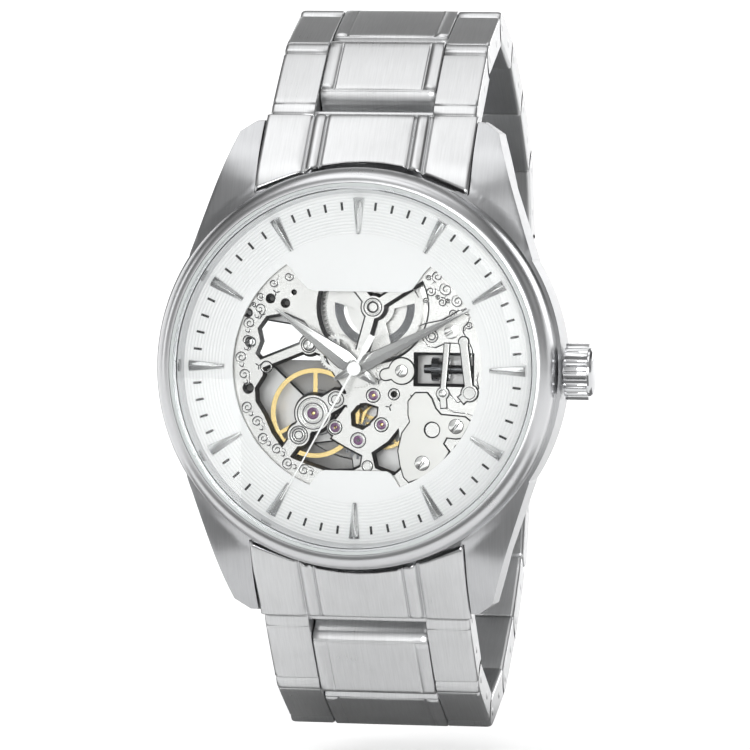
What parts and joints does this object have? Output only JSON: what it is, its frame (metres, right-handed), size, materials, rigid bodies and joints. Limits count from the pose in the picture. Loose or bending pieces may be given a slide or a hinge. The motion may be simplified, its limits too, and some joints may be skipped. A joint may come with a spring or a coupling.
{
  "type": "wristwatch",
  "caption": "Skeleton wristwatch with an open dial, visible going train and balance, fluted crown, and a steel link bracelet closed by a butterfly clasp.",
  "frame": {"origin": "centre of the case back's flat outer face", "axes": "+Z towards twelve o'clock, +X towards three o'clock and the crown, +Y towards the wrist, dial facing -Y"},
  "size_m": [0.0454, 0.0598, 0.0762],
  "materials": {
    "brushed_steel": "brushed",
    "polished_steel": "polished",
    "clasp_steel": "satin",
    "crystal_glass": "clear",
    "seal_rubber": "matte",
    "dial_silver": "satin",
    "marker_steel": "polished",
    "nickel_plate": "satin",
    "gilt_brass": "polished",
    "dark_steel": "polished",
    "ruby": "polished",
    "spacer_plastic": "matte"
  },
  "bodies": {
    "case": {"case_body": "brushed_steel", "bezel": "polished_steel", "crystal": "crystal_glass", "crystal_gasket": "seal_rubber", "rehaut": "polished_steel", "dial": "dial_silver", "hour_markers": "marker_steel", "main_plate": "nickel_plate", "barrel_bridge": "nickel_plate", "train_bridge": "nickel_plate", "balance_cock": "nickel_plate", "jewels": "ruby", "keyless_cover": "nickel_plate", "movement_screws": "nickel_plate", "movement_ring": "spacer_plastic", "case_back": "brushed_steel", "back_glass": "crystal_glass", "end_links": "brushed_steel", "spring_bars": "polished_steel", "hairspring": "dark_steel", "mainspring": "dark_steel"},
    "seconds": {"seconds_hand": "marker_steel"},
    "minutes": {"minute_hand": "marker_steel", "cannon_pinion": "nickel_plate", "centre_wheel": "gilt_brass"},
    "hours": {"hour_hand": "marker_steel", "hour_wheel": "gilt_brass"},
    "minute_wheel": {"minute_wheel": "nickel_plate"},
    "barrel": {"barrel": "nickel_plate"},
    "third_wheel": {"third_wheel": "gilt_brass"},
    "fourth_wheel": {"fourth_wheel": "gilt_brass"},
    "escape_wheel": {"escape_wheel": "dark_steel"},
    "pallet_fork": {"pallet_fork": "dark_steel"},
    "balance": {"balance_wheel": "gilt_brass"},
    "rotor": {"rotor": "nickel_plate"},
    "crown_pull": {"crown_gasket": "seal_rubber"},
    "crown": {"crown": "polished_steel", "stem": "dark_steel"},
    "sliding_pinion": {"sliding_pinion": "dark_steel"},
    "setting_lever": {"setting_lever": "nickel_plate"},
    "yoke": {"yoke": "nickel_plate"},
    "clasp_arm_12": {"clasp_arm_12": "clasp_steel"},
    "clasp_arm_6": {"clasp_arm_6": "clasp_steel"},
    "clasp_base": {"clasp_base": "clasp_steel"},
    "button_left": {"button_left": "clasp_steel"},
    "button_right": {"button_right": "clasp_steel"},
    "link_12_1": {"link_12_1": "brushed_steel"},
    "link_6_1": {"link_6_1": "brushed_steel"},
    "link_12_2": {"link_12_2": "brushed_steel"},
    "link_6_2": {"link_6_2": "brushed_steel"},
    "link_12_3": {"link_12_3": "brushed_steel"},
    "link_6_3": {"link_6_3": "brushed_steel"},
    "link_12_4": {"link_12_4": "brushed_steel"},
    "link_6_4": {"link_6_4": "brushed_steel"},
    "link_12_5": {"link_12_5": "brushed_steel"},
    "link_6_5": {"link_6_5": "brushed_steel"},
    "link_12_6": {"link_12_6": "brushed_steel"},
    "link_6_6": {"link_6_6": "brushed_steel"},
    "link_12_7": {"link_12_7": "brushed_steel"},
    "link_6_7": {"link_6_7": "brushed_steel"}
  },
  "joints": [
    {"name": "seconds_turn", "type": "hinge", "parent": "case", "child": "seconds", "pos_m": [0, -0.005, 0], "axis": [0, 1, 0], "continuous": true},
    {"name": "minutes_turn", "type": "hinge", "parent": "case", "child": "minutes", "pos_m": [0, -0.005, 0], "axis": [0, 1, 0], "continuous": true},
    {"name": "hours_turn", "type": "hinge", "parent": "case", "child": "hours", "pos_m": [0, -0.005, 0], "axis": [0, 1, 0], "continuous": true},
    {"name": "minute_wheel_turn", "type": "hinge", "parent": "case", "child": "minute_wheel", "pos_m": [-0.00207, -0.005, 0.00149], "axis": [0, 1, 0], "continuous": true},
    {"name": "barrel_turn", "type": "hinge", "parent": "case", "child": "barrel", "pos_m": [0.00145, -0.005, 0.00627], "axis": [0, 1, 0], "continuous": true},
    {"name": "third_wheel_turn", "type": "hinge", "parent": "case", "child": "third_wheel", "pos_m": [0.00162, -0.005, -0.00275], "axis": [0, 1, 0], "continuous": true},
    {"name": "fourth_wheel_turn", "type": "hinge", "parent": "case", "child": "fourth_wheel", "pos_m": [0.0025, -0.005, -0.00573], "axis": [0, 1, 0], "continuous": true},
    {"name": "escape_wheel_turn", "type": "hinge", "parent": "case", "child": "escape_wheel", "pos_m": [0.00012, -0.005, -0.00736], "axis": [0, 1, 0], "continuous": true},
    {"name": "balance_swing", "type": "hinge", "parent": "case", "child": "balance", "pos_m": [-0.0046, -0.005, -0.0047], "axis": [0, 1, 0], "range_deg": [-135, 135], "stiffness_Nm_per_rad": 0.0000007},
    {"name": "pallet_rock", "type": "hinge", "parent": "case", "child": "pallet_fork", "pos_m": [-0.00228, -0.005, -0.00609], "axis": [0, 1, 0], "range_deg": [-6, 6]},
    {"name": "rotor_turn", "type": "hinge", "parent": "case", "child": "rotor", "pos_m": [0, -0.002, 0], "axis": [0, 1, 0], "continuous": true},
    {"name": "crown_pull", "type": "slide", "parent": "case", "child": "crown_pull", "axis": [1, 0, 0], "range_m": [0, 0.0012]},
    {"name": "crown_turn", "type": "hinge", "parent": "crown_pull", "child": "crown", "pos_m": [0.022, -0.0056, 0], "axis": [1, 0, 0], "continuous": true},
    {"name": "sliding_pinion_shift", "type": "slide", "parent": "case", "child": "sliding_pinion", "axis": [-1, 0, 0], "range_m": [0, 0.0007]},
    {"name": "setting_lever_turn", "type": "hinge", "parent": "case", "child": "setting_lever", "pos_m": [0.01158, -0.0077, -0.00233], "axis": [0, 1, 0], "range_deg": [0, 10]},
    {"name": "yoke_turn", "type": "hinge", "parent": "case", "child": "yoke", "pos_m": [0.00882, -0.0077, -0.00241], "axis": [0, 1, 0], "range_deg": [-6, 0]},
    {"name": "link_12_1_hinge", "type": "hinge", "parent": "case", "child": "link_12_1", "pos_m": [0, 0.00201, 0.02591], "axis": [1, 0, 0], "range_deg": [0, 20]},
    {"name": "link_12_2_hinge", "type": "hinge", "parent": "link_12_1", "child": "link_12_2", "pos_m": [0, 0.00945, 0.03214], "axis": [1, 0, 0], "range_deg": [0, 20]},
    {"name": "link_12_3_hinge", "type": "hinge", "parent": "link_12_2", "child": "link_12_3", "pos_m": [0, 0.01844, 0.03578], "axis": [1, 0, 0], "range_deg": [0, 20]},
    {"name": "link_12_4_hinge", "type": "hinge", "parent": "link_12_3", "child": "link_12_4", "pos_m": [0, 0.02763, 0.03265], "axis": [1, 0, 0], "range_deg": [0, 20]},
    {"name": "link_12_5_hinge", "type": "hinge", "parent": "link_12_4", "child": "link_12_5", "pos_m": [0, 0.03585, 0.0275], "axis": [1, 0, 0], "range_deg": [0, 20]},
    {"name": "link_12_6_hinge", "type": "hinge", "parent": "link_12_5", "child": "link_12_6", "pos_m": [0, 0.04305, 0.02099], "axis": [1, 0, 0], "range_deg": [0, 20]},
    {"name": "link_12_7_hinge", "type": "hinge", "parent": "link_12_6", "child": "link_12_7", "pos_m": [0, 0.04585, 0.0117], "axis": [1, 0, 0], "range_deg": [0, 20]},
    {"name": "link_6_1_hinge", "type": "hinge", "parent": "case", "child": "link_6_1", "pos_m": [0, 0.00208, -0.02597], "axis": [1, 0, 0], "range_deg": [-20, 0]},
    {"name": "link_6_2_hinge", "type": "hinge", "parent": "link_6_1", "child": "link_6_2", "pos_m": [0, 0.00924, -0.03278], "axis": [1, 0, 0], "range_deg": [-20, 0]},
    {"name": "link_6_3_hinge", "type": "hinge", "parent": "link_6_2", "child": "link_6_3", "pos_m": [0, 0.0182, -0.03694], "axis": [1, 0, 0], "range_deg": [-20, 0]},
    {"name": "link_6_4_hinge", "type": "hinge", "parent": "link_6_3", "child": "link_6_4", "pos_m": [0, 0.02765, -0.03405], "axis": [1, 0, 0], "range_deg": [-20, 0]},
    {"name": "link_6_5_hinge", "type": "hinge", "parent": "link_6_4", "child": "link_6_5", "pos_m": [0, 0.03572, -0.02835], "axis": [1, 0, 0], "range_deg": [-20, 0]},
    {"name": "clasp_fold", "type": "hinge", "parent": "link_12_7", "child": "clasp_arm_12", "pos_m": [0, 0.0461, 0.002], "axis": [1, 0, 0], "range_deg": [0, 25]},
    {"name": "clasp_base_fold", "type": "hinge", "parent": "clasp_arm_12", "child": "clasp_base", "pos_m": [0, 0.04103, 0.01574], "axis": [1, 0, 0], "range_deg": [-42, 0]},
    {"name": "clasp_arm_6_fold", "type": "hinge", "parent": "clasp_base", "child": "clasp_arm_6", "pos_m": [0, 0.0408, -0.01568], "axis": [1, 0, 0], "range_deg": [-26, 0]},
    {"name": "link_6_7_hinge", "type": "hinge", "parent": "clasp_arm_6", "child": "link_6_7", "pos_m": [0, 0.0461, -0.002], "axis": [1, 0, 0], "range_deg": [0, 126]},
    {"name": "link_6_6_hinge", "type": "hinge", "parent": "link_6_7", "child": "link_6_6", "pos_m": [0, 0.04569, -0.01187], "axis": [1, 0, 0], "range_deg": [0, 20]},
    {"name": "button_right_press", "type": "slide", "parent": "clasp_base", "child": "button_right", "axis": [-1, 0, 0], "range_m": [0, 0.0008], "stiffness_N_per_m": 300},
    {"name": "button_left_press", "type": "slide", "parent": "clasp_base", "child": "button_left", "axis": [1, 0, 0], "range_m": [0, 0.0008], "stiffness_N_per_m": 300}
  ],
  "couplings": [
    {"joint": "minutes_turn", "follows": "seconds_turn", "ratio": 0.016667},
    {"joint": "hours_turn", "follows": "seconds_turn", "ratio": 0.0013889},
    {"joint": "minute_wheel_turn", "follows": "seconds_turn", "ratio": -0.0055556},
    {"joint": "barrel_turn", "follows": "seconds_turn", "ratio": -0.0025641},
    {"joint": "third_wheel_turn", "follows": "seconds_turn", "ratio": -0.13333},
    {"joint": "fourth_wheel_turn", "follows": "seconds_turn", "ratio": 1},
    {"joint": "escape_wheel_turn", "follows": "seconds_turn", "ratio": -10},
    {"joint": "pallet_rock", "follows": "balance_swing", "ratio": -0.04},
    {"joint": "sliding_pinion_shift", "follows": "crown_pull", "ratio": 0.58},
    {"joint": "setting_lever_turn", "follows": "crown_pull", "rad_per_m": 143.99},
    {"joint": "yoke_turn", "follows": "crown_pull", "rad_per_m": -85.812},
    {"joint": "clasp_base_fold", "follows": "clasp_fold", "ratio": -1.6},
    {"joint": "clasp_arm_6_fold", "follows": "clasp_fold", "ratio": -1},
    {"joint": "link_6_7_hinge", "follows": "clasp_fold", "ratio": 5}
  ]
}
